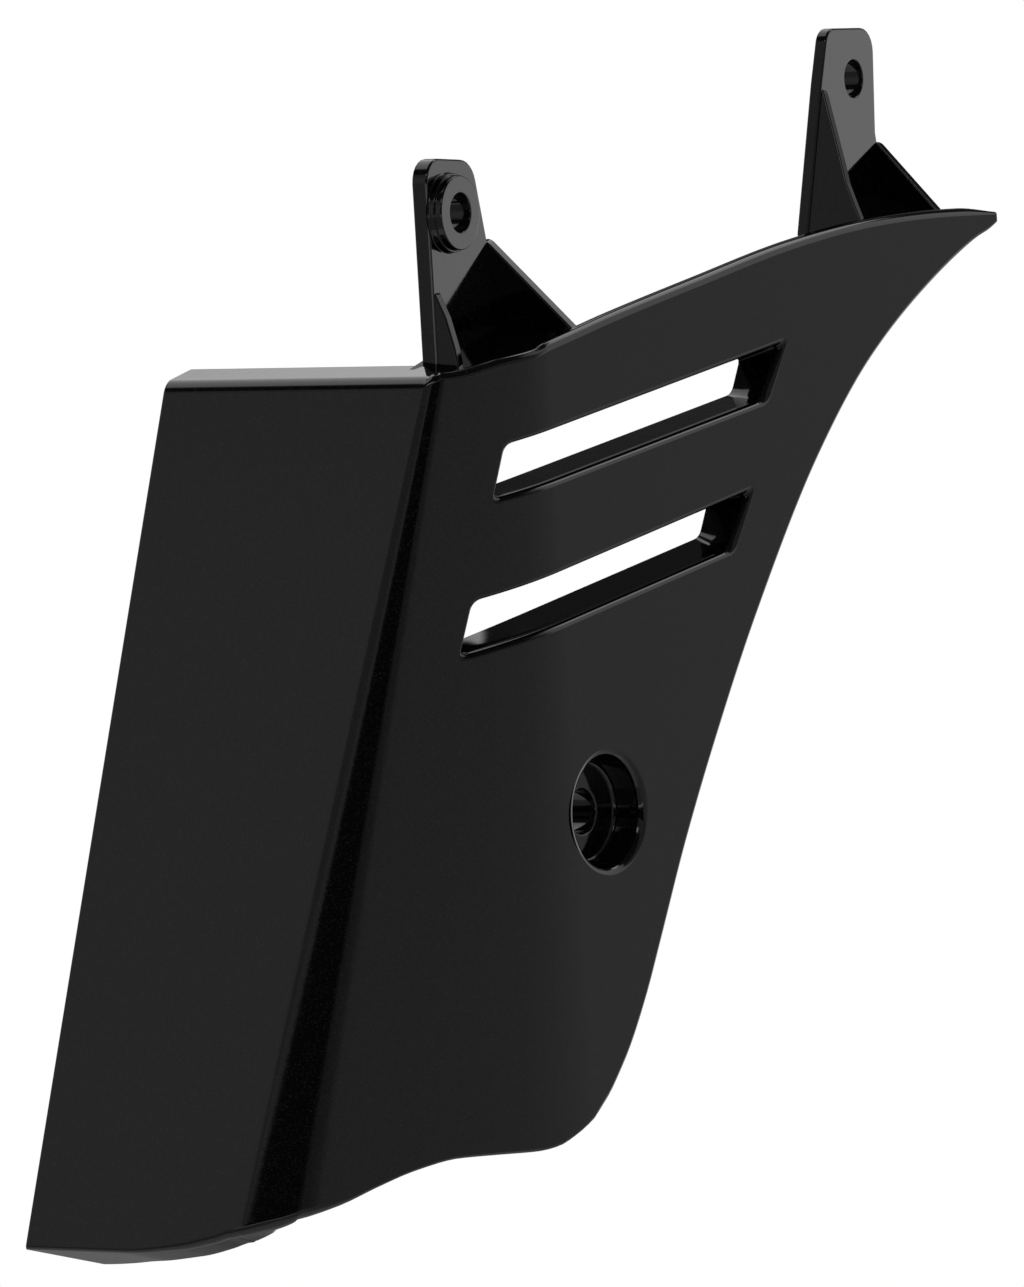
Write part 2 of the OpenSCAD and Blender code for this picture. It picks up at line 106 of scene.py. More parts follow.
# Fold lines and lips along the station v: -1..0 over the front panel, 0..83.1 degrees round the
# corner, then millimetres along the side panel
upper = Curve([
    (-1, TOP_Z), (-0.06, TOP_Z), (22, TOP_Z + 0.8), (50, TOP_Z + 1.8), (65, TOP_Z + 4.3),
    (79, TOP_Z + 6.3), (89.5, TOP_Z + 9.1), (103, TOP_Z + 13), (130, TOP_Z + 20.2),
    (160, TOP_Z + 27.9), (181, TOP_Z + 32), (194, TOP_Z + 33.8), (207, TOP_Z + 35.1), (V_END, TOP_Z + 36.3)])
lower = Curve([
    (-1, LOW_Z), (-0.5, LOW_Z + 0.05), (-0.27, LOW_Z + 1.3), (-0.1, LOW_Z + 3.1),
    (0, LOW_Z + 4.3), (8, LOW_Z + 4.8),
    (20, LOW_Z + 5.5), (47, LOW_Z + 7.3), (51.8, LOW_Z + 9.2), (55.7, LOW_Z + 12), (59.8, LOW_Z + 14.7),
    (64.4, LOW_Z + 16.5), (69.2, LOW_Z + 16.9), (74.5, LOW_Z + 17.2), (77.4, LOW_Z + 17.9),
    (80.5, LOW_Z + 20), (84.6, LOW_Z + 23.8), (87.9, LOW_Z + 26.7), (91.2, LOW_Z + 30.4),
    (94.7, LOW_Z + 34.8), (100.7, LOW_Z + 44.3), (105.5, LOW_Z + 53.3), (114.9, LOW_Z + 71.2),
    (125.5, LOW_Z + 89.2), (140.9, LOW_Z + 112.9), (163.2, LOW_Z + 142.3), (181.9, LOW_Z + 161),
    (203.7, LOW_Z + 176.3), (218.5, LOW_Z + 184.3), (223, LOW_Z + 186), (V_END, LOW_Z + 187.3)])
upper_depth = Curve([(-1, 8.6), (-0.12, 8.6), (0, 4.2), (12, 3.6), (48, 3.2), (PHI_SIDE, 2.8), (V_END, 2.8)])
upper_climb = Curve([(-1, 18), (-0.1, 18), (30, 6), (60, 0), (V_END, 0)])
upper_r = Curve([(-1, 2.7), (-0.1, 2.7), (50, 1.5), (215, 1.5), (V_END, 0.5)])
lower_depth = Curve([
    (-1, 28), (-0.94, 27), (-0.77, 22.8), (-0.59, 17), (-0.42, 13), (-0.27, 11), (0, 8.5), (30, 8),
    (48, 7), (60, 4), (PHI_SIDE, 3.4), (V_END, 2.8)])
lower_fall = Curve([(-1, 8.5), (20, 8.5), (65, 0), (V_END, 0)])
lower_r = Curve([
    (-1, 1), (-0.5, 1.1), (-0.06, 2.2), (20, 2.4), (45, 2.2), (58, 0.8), (210, 0.8), (V_END, 0.4)])


def between(z, pair):
    return pair[0] + (pair[1] - pair[0]) * (z - REF_Z[0]) / (REF_Z[1] - REF_Z[0])


def corner_lines(z):
    """Start of the corner on the front panel, its end on the side panel, and both radii."""
    r1, r2 = between(z, CORNER_R), between(z, CHEEK_R)
    y = FRONT_Y0 + math.tan(FRONT_RAKE) * (z - TOP_Z)
    x = SIDE_X + math.tan(FLARE) * y
    turn, phi = math.radians(TURN), math.radians(PHI_SIDE)
    t1, t2 = r1 * math.tan(turn / 2), r2 * math.tan((phi - turn) / 2)
    sx = x - ((t1 + t2) * math.sin(phi - turn) / math.sin(phi) + t1)
    back = (t1 + t2) * math.sin(turn) / math.sin(phi) + t2
    return sx, y, x + math.sin(FLARE) * back, y + math.cos(FLARE) * back, r1, r2


def face(v, z):
    """The shell's outer face."""
    v, z = np.broadcast_arrays(np.asarray(v, float), np.asarray(z, float))
    sx, fy, ex, ey, r1, r2 = corner_lines(z)
    a = np.radians(np.clip(v, 0, PHI_SIDE))
    edge = EDGE_X_TOP + (EDGE_X_LOW - EDGE_X_TOP) * (z - TOP_Z) / (LOW_Z - TOP_Z)
    cf, sf = math.cos(FLARE), math.sin(FLARE)
    x = np.where(v <= 0, edge * -v + sx * (1 + v), np.where(
        v <= TURN, sx + r1 * np.sin(a), np.where(
            v <= PHI_SIDE, ex - cf * r2 + r2 * np.sin(a), ex + sf * (v - PHI_SIDE))))
    y = np.where(v <= 0, fy, np.where(
        v <= TURN, fy + r1 - r1 * np.cos(a), np.where(
            v <= PHI_SIDE, ey + sf * r2 - r2 * np.cos(a), ey + cf * (v - PHI_SIDE))))
    return np.stack([x, y, z], -1)


def inward(v):
    a = np.radians(np.clip(v, 0, PHI_SIDE))
    return np.stack([-np.sin(a), np.cos(a), np.zeros_like(a)], -1)


def ruling(v, z):
    return face(v, np.asarray(z) + 0.5) - face(v, np.asarray(z) - 0.5)


def unit(a):
    return a / np.maximum(np.linalg.norm(a, axis=-1, keepdims=True), 1e-12)


def outward(v, z):
    """Exact normal of the outer face."""
    v, z = np.broadcast_arrays(np.asarray(v, float), np.asarray(z, float))
    w = inward(v)
    along = np.stack([w[..., 1], -w[..., 0], np.zeros_like(z)], -1)
    return unit(np.cross(along, ruling(v, z)))


def v_at(y, z):
    """Station of the side panel's or cheek's point at (y, z)."""
    sx, fy, ex, ey, r1, r2 = corner_lines(z)
    c = np.clip((ey + math.sin(FLARE) * r2 - y) / r2, -1, 1)
    return np.where(y >= ey, PHI_SIDE + (y - ey) / math.cos(FLARE), np.degrees(np.arccos(c)))


# A flat map of the face for meshing: distances there are about the real ones
MAP_V = np.array([-1, 0, TURN, PHI_SIDE, V_END])
MAP_U = np.array([-60, 0, 8, 52, 52 + V_END - PHI_SIDE])


class Builder:
    """Collects patches with their own normals and joins them into one mesh."""

    def __init__(self):
        self.points, self.normals, self.faces, self.count = [], [], [], 0

    def add(self, points, normals, faces):
        points = np.asarray(points, float).reshape(-1, 3)
        normals = np.asarray(normals, float).reshape(-1, 3)
        for f in faces:
            p, n = points[list(f)], normals[list(f)].sum(0)
            g = np.zeros(3)
            for i in range(1, len(f) - 1):
                g += np.cross(p[i] - p[0], p[i + 1] - p[0])
            self.faces.append([self.count + k for k in (f if g @ n >= 0 else f[::-1])])
        self.points.append(points)
        self.normals.append(unit(normals))
        self.count += len(points)

    def strip(self, points, normals, closed=False):
        """A grid of rows; closed joins each row's ends."""
        rows, cols = points.shape[:2]
        quads = []
        for i in range(rows - 1):
            here, below = i * cols, (i + 1) * cols
            for j in range(cols if closed else cols - 1):
                k = (j + 1) % cols
                quads.append((here + j, here + k, below + k, below + j))
        self.add(points, normals, quads)

    def object(self, name, material):
        points, normals = np.concatenate(self.points), np.concatenate(self.normals)
        _, first, where = np.unique(np.round(points, 4), axis=0, return_index=True, return_inverse=True)
        where = where.reshape(-1)
        faces, loops = [], []
        for f in self.faces:
            g, keep = [], []
            for k in f:
                if where[k] not in g:
                    g.append(int(where[k]))
                    keep.append(k)
            if len(g) > 2:
                faces.append(g)
                loops += keep
        mesh = bpy.data.meshes.new(name)
        mesh.from_pydata((points[first] * MM).tolist(), [], faces)
        mesh.polygons.foreach_set("use_smooth", [True] * len(faces))
        mesh.normals_split_custom_set(normals[loops].tolist())
        mesh.update()
        mesh.materials.append(material)
        thing = bpy.data.objects.new(name, mesh)
        scene.collection.objects.link(thing)
        return thing


def inside(points, loop):
    """Which 2D points lie inside a closed loop."""
    x, y = points[:, 0], points[:, 1]
    hit = np.zeros(len(points), bool)
    for (x0, y0), (x1, y1) in zip(loop, np.roll(loop, -1, axis=0)):
        if y0 != y1:
            cross = (y0 > y) != (y1 > y)
            hit ^= cross & (x < (x1 - x0) * (y - y0) / (y1 - y0) + x0)
    return hit


def fill(outline, holes, grid):
    """Triangles between an outline and its holes, over free grid points."""
    loops = [np.asarray(outline, float)] + [np.asarray(h, float) for h in holes]
    if len(grid):
        grid = grid[inside(grid, loops[0])]
        for h in loops[1:]:
            grid = grid[~inside(grid, h)]
        rim = np.concatenate(loops)
        grid = np.array([p for p in grid if np.min(np.sum((rim - p) ** 2, 1)) > 0.2])
    points, edges = [], []
    for loop in loops:
        n = len(points)
        points += loop.tolist()
        edges += [(n + i, n + (i + 1) % len(loop)) for i in range(len(loop))]
    points += [] if not len(grid) else grid.tolist()
    verts, _, tris, *_ = delaunay_2d_cdt([Vector(p) for p in points], edges, [], 0, 1e-5)
    verts, tris = np.array([tuple(v) for v in verts]), np.array([tuple(t) for t in tris])
    mid = verts[tris].mean(1)
    keep = inside(mid, loops[0])
    for h in loops[1:]:
        keep &= ~inside(mid, h)
    area = np.cross(verts[tris[:, 1]] - verts[tris[:, 0]], verts[tris[:, 2]] - verts[tris[:, 0]])
    return verts, tris[keep & (np.abs(area) > 1e-7)].tolist()


def path(corners, radii, n=6):
    """2D path with rounded inner corners, as points and tangents (each straight end keeps its own)."""
    corners = [np.array(c, float) for c in corners]
    pts, tans = [corners[0]], [unit(corners[1] - corners[0])]
    for i in range(1, len(corners) - 1):
        a, b, c = corners[i - 1:i + 2]
        da, dc = unit(a - b), unit(c - b)
        for s in np.linspace(0, 1, n):
            pts.append(b + da * radii[i - 1] * (1 - s) ** 2 + dc * radii[i - 1] * s ** 2)
            tans.append(unit(-da * (1 - s) + dc * s))
    pts.append(corners[-1])
    tans.append(unit(corners[-1] - corners[-2]))
    return np.array(pts), np.array(tans)


def stretch(curve, v):
    if v <= PHI_SIDE:
        return 1.0
    return math.sqrt(1 + float(curve(v + 0.5) - curve(v - 0.5)) ** 2)


def lip(v, pull, s):
    """Half of the section at station v, from its fold line inwards: points (depth, height) and tangents."""
    fold, depth, climb, radius = (upper, upper_depth, upper_climb, upper_r) if s > 0 else (
        lower, lower_depth, lower_fall, lower_r)
    other = lower if s > 0 else upper
    z, d, c, r = float(fold(v)), float(depth(v)), math.radians(float(climb(v))), float(radius(v))
    k = stretch(fold, v)
    room = abs(z - float(other(v))) / 2 - 0.3
    d1 = r * (1 - math.sin(c))
    pts, tans = [], []
    for b in np.linspace(0, math.pi / 2 - c, 9):
        pts.append((pull + r * (1 - math.cos(b)) * (d1 - pull) / d1, z + s * k * r * math.sin(b)))
        tans.append((math.sin(b), s * k * math.cos(b)))
    end = pts[-1]
    z2 = end[1] + s * (d - end[0]) * math.tan(c)
    thick = min(WALL * k / math.cos(c), room + abs(z2 - z))
    z3 = z2 - s * thick
    z4 = z3 - s * (d - WALL) * math.tan(c)
    f = min(1.0, (d - WALL) / 2)
    gap = min(f * 1.05 + 0.02, 0.45 * max(abs(z4 - (z - s * room)), 0.05))
    ra = min(0.5, 0.4 * (d - end[0]), 0.4 * thick)
    rest, more = path([end, (d, z2), (d, z3), (WALL, z4), (WALL, z4 - s * gap)],
                      [ra, ra, 0.95 * min(f, gap)])
    return np.concatenate([pts, rest[1:]]), np.concatenate([tans, more[1:]])


turn_steps = np.linspace(90, 0, 7)
edge_stations = [(-1 + EDGE_V * (1 - math.sin(math.radians(t))), EDGE_R * (1 - math.cos(math.radians(t))))
                 for t in turn_steps]
face_stations = np.unique(np.round(np.concatenate([
    np.linspace(-0.97, 0, 34), np.linspace(0, TURN, 33), np.linspace(TURN, PHI_SIDE, 36),
    np.arange(PHI_SIDE + 1.5, V_END - 4, 1.5), np.linspace(V_END - 4, V_END, 7)]), 5))
stations = edge_stations + [(v, 0.0) for v in face_stations]
first_face = len(edge_stations) - 1
v_list = np.array([s[0] for s in stations])

shell = Builder()


def lip_grid(s):
    """Positions, normals and inner-end heights of a whole lip."""
    rows = [lip(v, pull, s) for v, pull in stations]
    P, T = [], []
    for (v, pull), (pts, tans) in zip(stations, rows):
        w, slope = inward(v), ruling(v, 0.0)
        P.append(face(np.full(len(pts), v), pts[:, 1]) + w * pts[:, :1])
        T.append(slope * tans[:, 1:] + w * tans[:, :1])
    P, T = np.array(P), np.array(T)
    D = np.empty_like(P)
    D[1:-1] = P[2:] - P[:-2]
    D[0], D[-1] = P[1] - P[0], P[-1] - P[-2]
    N = unit(np.cross(D, T)) * s
    v0, z0 = v_list, np.array([r[0][0, 1] for r in rows])
    N[first_face:, 0] = outward(v0[first_face:], z0[first_face:])
    ends = np.array([r[0][-1, 1] for r in rows])
    return P, N, ends, rows


top_P, top_N, top_in, top_rows = lip_grid(1)
low_P, low_N, low_in, low_rows = lip_grid(-1)
shell.strip(top_P, top_N)
shell.strip(low_P, low_N)

# the free edge's rounding between the two lips, and its flat end
edge_n = unit(np.cross(ruling(-1.0, 0.0), inward(-1.0)))
edge_n = edge_n if edge_n[0] < 0 else -edge_n
out_n = outward(-1.0, -100.0)
edge_P = np.stack([low_P[:first_face + 1, 0], top_P[:first_face + 1, 0]], 1)
edge_N = np.array([
    [out_n * math.cos(math.radians(t)) + edge_n * math.sin(math.radians(t))] * 2 for t in turn_steps])
shell.strip(edge_P, edge_N)
for at, normal in ((0, edge_n), (-1, SIDE_T)):
    ring_2d = np.concatenate([low_rows[at][0][::-1], top_rows[at][0]])
    ring_3d = np.concatenate([low_P[at][::-1], top_P[at]])
    verts, tris = fill(ring_2d, [], [])
    order = [int(np.argmin(np.sum((ring_2d - p) ** 2, 1))) for p in verts]
    shell.add(ring_3d[order], np.tile(normal, (len(order), 1)), tris)
inner_edge = np.stack([low_P[:first_face + 1, -1], top_P[:first_face + 1, -1]], 1)
shell.strip(inner_edge, np.tile(-out_n, (first_face + 1, 2, 1)))

# Slots
SLOT_R = 1.1
SLOT_END_R = 2
RIM_DEPTH = 1.4
DUCT_DEPTH = 8
DUCT_WALL = 1.8
CUT_DEPTH = DUCT_DEPTH + 0.8
MOUTH_EASE = 2
THROAT_EASE = 1.6
DUCT_EASE = 2.5
ROOT_DEPTH = 1.2


def slot_corners(y0, y1, z0, rise, high, lean0, lean1):
    """[upper rear, upper front, lower front, lower rear] as (y, z)."""
    g, a, b = math.tan(math.radians(rise)), y0 - lean0, y1 - lean1
    return np.array([(y1, z0 + g * y1), (y0, z0 + g * y0), (a, z0 - high + g * a), (b, z0 - high + g * b)])


def set_in(q, rear, front, side):
    up, lo = unit(q[0] - q[1]), unit(q[3] - q[2])
    return np.array([q[0] - up * rear - (0, side), q[1] + up * front - (0, side),
                     q[2] + lo * front + (0, side), q[3] - lo * rear + (0, side)])


def eased(q, r, n_corner=9, n_long=56, n_short=9):
    """A loop through four corners eased by r, with points along its sides."""
    arcs = []
    for i in range(4):
        p, a, b = q[i], unit(q[i - 1] - q[i]), unit(q[(i + 1) % 4] - q[i])
        s = np.linspace(0, 1, n_corner)[:, None]
        arcs.append(p + a * r * (1 - s) ** 2 + b * r * s ** 2)
    out = []
    for i in range(4):
        n = n_long if i % 2 == 0 else n_short
        t = np.linspace(0, 1, n + 2)[1:-1, None]
        out += [arcs[i], arcs[i][-1] * (1 - t) + arcs[(i + 1) % 4][0] * t]
    return np.concatenate(out)


def on_face(loop, depth):
    return face(v_at(loop[:, 0], loop[:, 1]), loop[:, 1]) - SIDE_N * depth


def on_flat(loop, depth):
    x = SIDE_X + math.tan(FLARE) * loop[:, 0]
    return np.stack([x, loop[:, 0], loop[:, 1]], -1) - SIDE_N * depth


def onto_wall(points):
    """Stations and heights of the nearest points of the inner wall."""
    x, y, z = points.T
    sx, fy, ex, ey, r1, r2 = corner_lines(z)
    cx, cy = ex - math.cos(FLARE) * r2, ey + math.sin(FLARE) * r2
    angle = np.degrees(np.arctan2(x - cx, cy - y))
    along = (points - np.stack([ex, ey, z], -1)) @ SIDE_T
    return np.where(angle >= PHI_SIDE, PHI_SIDE + np.maximum(along, 0), angle), z


def row_normals(P):
    """Normals of closed rows from the neighbouring points; the caller sets their sign."""
    along = np.roll(P, -1, axis=1) - np.roll(P, 1, axis=1)
    down = np.empty_like(P)
    down[1:-1] = unit(P[2:] - P[1:-1]) + unit(P[1:-1] - P[:-2])
    down[0], down[-1] = P[1] - P[0], P[-1] - P[-2]
    return unit(np.cross(along, down))


outer_holes, wall_holes = [], []


def add_slot(mouth, throat):
    steps = np.radians(np.linspace(0, 90, 10))
    rims = []
    for t in steps:
        rear, side = SLOT_END_R * math.sin(t), SLOT_R * math.sin(t)
        loop = eased(set_in(mouth, rear, side, side), MOUTH_EASE)
        rims.append(on_face(loop, RIM_DEPTH * (1 - math.cos(t))))
    deep = on_flat(eased(throat, THROAT_EASE), CUT_DEPTH)
    reach = (DUCT_DEPTH - RIM_DEPTH) / (CUT_DEPTH - RIM_DEPTH)
    ducts = [rims[-1] * (1 - f) + deep * f for f in np.linspace(0, reach, 12)[1:]]
    inner = np.array(rims + ducts)
    normals = row_normals(inner)
    mouth_loop = eased(mouth, MOUTH_EASE)
    v = v_at(mouth_loop[:, 0], mouth_loop[:, 1])
    n0 = outward(v, mouth_loop[:, 1])
    if np.sum(normals[1] * n0) < 0:
        normals = -normals
    normals[0] = n0
    shell.strip(inner, normals, closed=True)
    grown = set_in(mouth, SLOT_END_R - DUCT_WALL, SLOT_R - DUCT_WALL, SLOT_R - DUCT_WALL)
    start = on_face(eased(grown, DUCT_EASE), ROOT_DEPTH)
    end = on_flat(eased(set_in(throat, -DUCT_WALL, -DUCT_WALL, -DUCT_WALL), DUCT_EASE), DUCT_DEPTH)
    at = start + (end - start) * (WALL - ROOT_DEPTH) / (DUCT_DEPTH - ROOT_DEPTH)
    wv, wz = onto_wall(at)
    seam = face(wv, wz) + inward(wv) * WALL
    outer = np.array([seam * (1 - f) + end * f for f in np.linspace(0, 1, 8)])
    outer_n = row_normals(outer)
    middle = outer.mean((0, 1))
    if np.sum(outer_n * (outer - middle)) < 0:
        outer_n = -outer_n
    shell.strip(outer, outer_n, closed=True)
    brim = np.array([inner[-1], end])
    shell.strip(brim, np.tile(-SIDE_N, brim.shape[:2] + (1,)), closed=True)
    outer_holes.append(np.stack([v, mouth_loop[:, 1]], -1))
    wall_holes.append(np.stack([wv, wz], -1))


add_slot(slot_corners(-2.2, 81.1, -40.2, 13.9, 11.2, 2.4, 6.4),
         slot_corners(0, 76.1, -43.3, 13.9, 5.8, 1.2, 6.4 / 3))
add_slot(slot_corners(-8.2, 70.9, -66.5, 15, 11.2, 2.4, 6.4),
         slot_corners(-6, 66.3, -68.5, 15, 5.8, 1.2, 6.4 / 3))

# Screw seat
SEAT_Y, SEAT_Z = 26.4, -107.2
SEAT_R = 9.95
SEAT_RIM = 1.6
SEAT_DEPTH = 6.2
SEAT_WALL = 1.8
SEAT_FLOOR = 2.2
SCREW_R = 4
SCREW_LEN = 7
BOSS_R = 6.5
AROUND = 120


def revolve(profile, tangents, origin, e1, e2, axis, target, side=1):
    """A profile of (radius, height) turned round the axis."""
    a = np.linspace(0, 2 * math.pi, AROUND, endpoint=False)
    radial = np.cos(a)[:, None] * e1 + np.sin(a)[:, None] * e2
    P = origin + profile[:, :1, None] * radial + profile[:, 1:, None] * axis
    n = np.stack([-tangents[:, 1], tangents[:, 0]], -1) * side
    N = n[:, :1, None] * radial + n[:, 1:, None] * axis
    target.strip(P, N, closed=True)
    return P


def flat_stations(points):
    """Stations and heights of points that lie on the side panel."""
    ex, ey = corner_lines(points[:, 2])[2:4]
    along = (points - np.stack([ex, ey, points[:, 2]], -1)) @ SIDE_T
    return np.stack([PHI_SIDE + along, points[:, 2]], -1)


def add_seat():
    t = np.radians(np.linspace(0, 90, 12))
    rim_pts = np.stack([SEAT_R + SEAT_RIM - SEAT_RIM * np.sin(t), SEAT_RIM * (np.cos(t) - 1)], -1)
    rim_tan = np.stack([-np.cos(t), -np.sin(t)], -1)
    back = SEAT_DEPTH + SEAT_FLOOR
    end = SEAT_DEPTH + SCREW_LEN
    corners = [
        rim_pts[-1], (SEAT_R - 0.6, -SEAT_DEPTH), (SCREW_R, -SEAT_DEPTH), (SCREW_R, -end), (BOSS_R, -end),
        (BOSS_R, -back), (SEAT_R + SEAT_WALL, -back), (SEAT_R + SEAT_WALL, -WALL)]
    more, more_tan = path(corners, [0.9, 0.5, 0.3, 0.4, 0.6, 0.5])
    profile = np.concatenate([rim_pts, more[1:]])
    tangents = np.concatenate([rim_tan, more_tan[1:]])
    origin = np.array([SIDE_X + math.tan(FLARE) * SEAT_Y, SEAT_Y, SEAT_Z])
    P = revolve(profile, tangents, origin, SIDE_T, UP, SIDE_N, shell, side=-1)
    outer_holes.append(flat_stations(P[0]))
    wall_holes.append(flat_stations(P[-1] + SIDE_N * WALL))


add_seat()


def add_face(v_row, top, low, holes, depth, step):
    """The long outer face, or the inner wall at its depth, with its holes."""
    to_u = lambda v: np.interp(v, MAP_V, MAP_U)
    to_v = lambda u: np.interp(u, MAP_U, MAP_V)
    outline = np.concatenate([np.stack([to_u(v_row), low], -1), np.stack([to_u(v_row), top], -1)[::-1]])
    loops = [np.stack([to_u(h[:, 0]), h[:, 1]], -1) for h in holes]
    grid = np.array([(to_u(v), z) for v in v_row[1:-1] for z in np.arange(LOW_Z, 6, step)])
    verts, tris = fill(outline, loops, grid)
    v, z = to_v(verts[:, 0]), verts[:, 1]
    shell.add(face(v, z) + inward(v) * depth, outward(v, z) * (-1 if depth else 1), tris)


v_row = v_list[first_face:]
add_face(v_row, upper(v_row), lower(v_row), outer_holes, 0.0, 3.0)
add_face(v_row, top_in[first_face:], low_in[first_face:], wall_holes, WALL, 4.0)


# Tabs
def rounded(corners, n=7):
    """Corners (a, b, radius) as a dense outline, anticlockwise, with outward normals."""
    q = np.array([(c[0], c[1]) for c in corners], float)
    r = [c[2] for c in corners]
    area = np.sum(q[:, 0] * np.roll(q[:, 1], -1) - np.roll(q[:, 0], -1) * q[:, 1])
    if area < 0:
        q, r = q[::-1], r[::-1]
    pts, nrm = [], []
    for i in range(len(q)):
        a, b = unit(q[i - 1] - q[i]), unit(q[(i + 1) % len(q)] - q[i])
        half = math.acos(max(-1, min(1, float(a @ b)))) / 2
        convex = (-a)[0] * b[1] - (-a)[1] * b[0] > 0
        reach = r[i] / math.tan(half)
        centre = q[i] + unit(a + b) * r[i] / math.sin(half)
        p0, p1 = q[i] + a * reach, q[i] + b * reach
        a0 = math.atan2(*(p0 - centre)[::-1])
        sweep = (math.atan2(*(p1 - centre)[::-1]) - a0 + math.pi) % (2 * math.pi) - math.pi
        for t in np.linspace(0, 1, n):
            w = a0 + sweep * t
            d = np.array([math.cos(w), math.sin(w)])
            pts.append(centre + d * r[i])
            nrm.append(d if convex else -d)
    return np.array(pts), np.array(nrm)


def slab(target, corners, low, high, matrix, origin=(0, 0, 0), holes_low=(), holes_high=(), bevel=0.4):
    """A plate over an outline with rounded edges; matrix places its (a, b, c) axes."""
    matrix, origin = np.array(matrix, float), np.array(origin, float)
    pts, nrm = rounded(corners)
    place = lambda p: p @ matrix.T + origin
    turn = lambda n: unit(n @ np.linalg.inv(matrix))
    rows, normals = [], []
    angles = [90, 60, 30, 0]
    for side, level in ((-1, low), (1, high)):
        for t in (angles if side < 0 else angles[::-1]):
            b = math.radians(t)
            flat = pts - nrm * bevel * (1 - math.cos(b))
            c = level - side * bevel * (1 - math.sin(b))
            rows.append(np.column_stack([flat, np.full(len(flat), c)]))
            normals.append(np.column_stack([nrm * math.cos(b), np.full(len(flat), side * math.sin(b))]))
    rows, normals = np.array(rows), np.array(normals)
    target.strip(place(rows), turn(normals), closed=True)
    for row, level, side, holes in ((rows[0], low, -1, holes_low), (rows[-1], high, 1, holes_high)):
        verts, tris = fill(row[:, :2], holes, [])
        flat = np.column_stack([verts, np.full(len(verts), level)])
        target.add(place(flat), turn(np.tile((0.0, 0.0, side), (len(verts), 1))), tris)


PLATE_AXES = [[0, 0, 1], [1, 0, 0], [0, 1, 0]]
BOLT_R = 3.5
RIB = 2.0


def circle(y, z, r):
    a = np.linspace(0, 2 * math.pi, AROUND, endpoint=False)
    return np.stack([y + r * np.cos(a), z + r * np.sin(a)], -1)


def rib(target, y, z, lean, corners, turn=0.0, pivot=(0, 0, 0), thick=RIB):
    """A rib in the x-z plane through (y, z), leaning about X and turned about Z."""
    c, s = math.cos(math.radians(lean)), math.sin(math.radians(lean))
    lean_m = np.array([[1, 0, 0], [0, c, -s], [0, s, c]])
    c, s = math.cos(turn), math.sin(turn)
    turn_m = np.array([[c, -s, 0], [s, c, 0], [0, 0, 1]])
    axes = np.array([[1, 0, 0], [0, 0, -1], [0, 1, 0]], float)
    m = turn_m @ lean_m @ axes
    origin = turn_m @ (np.array([0, y, z]) - pivot) + pivot
    slab(target, corners, -thick, 0, m, origin, bevel=0.3)


def shelf(target, corners, a, b, c, thick):
    """A sloping plate with its upper face at a + b x + c y."""
    slab(target, corners, -thick, 0, [[1, 0, 0], [0, 1, 0], [b, c, 1]], (0, 0, a), bevel=0.3)


# front tab
PLATE = 3.2
boss, boss_tan = path([
    (7.6, 0), (7.1, 0), (7.1, 1.3), (6.7, 1.3), (6.7, 2.6), (BOLT_R, 2.6), (BOLT_R, -PLATE),
    (BOLT_R + 0.4, -PLATE)],
    [0.3, 0.2, 0.15, 0.3, 0.35, 0.3])
Y_AXIS, X_AXIS = np.array([0, 1.0, 0]), np.array([1.0, 0, 0])
revolve(boss, boss_tan, np.zeros(3), Y_AXIS, UP, X_AXIS, shell, side=-1)
slab(shell, [
    (-3.6, -28.1, 0.5), (-5.2, -13.9, 3), (-7.9, 9.5, 4.2), (8.4, 9.8, 5.2), (14.1, -5.6, 0.6),
    (18.9, -19.9, 0.5)],
     -PLATE, 0, PLATE_AXES, holes_low=[circle(0, 0, BOLT_R + 0.4)], holes_high=[circle(0, 0, 7.6)])
rib(shell, -4.8, -14.3, 6.4, [
    (-2.7, 0, 0.3), (0, 0, 1), (2.1, -4.6, 2), (3.6, -10, 2), (4.3, -14.4, 0.3), (-2.7, -14.4, 0.3)])
rib(shell, 13.3, -4.6, 17.2, [(-2.7, 0, 0.3), (0, 0, 2), (15, -16.6, 0.3), (15, -18, 0.3), (-2.7, -16, 0.3)])


def rim_plan(stops, depth):
    return [tuple((face(v, float(upper(v))) + inward(float(v)) * depth)[:2]) + (0.2,) for v in stops]


RIM_STOPS = [24, 36, 48, 53, 57, 62, 66, 70, 75, 79, 83, 89, 95]
SHELF = 2.6
shelf(shell, [(-3.5, 20.6, 0.3), (-3.5, -7.5, 0.3)] + rim_plan(RIM_STOPS, 2.2), -25.8, -0.177, 0.36, SHELF)

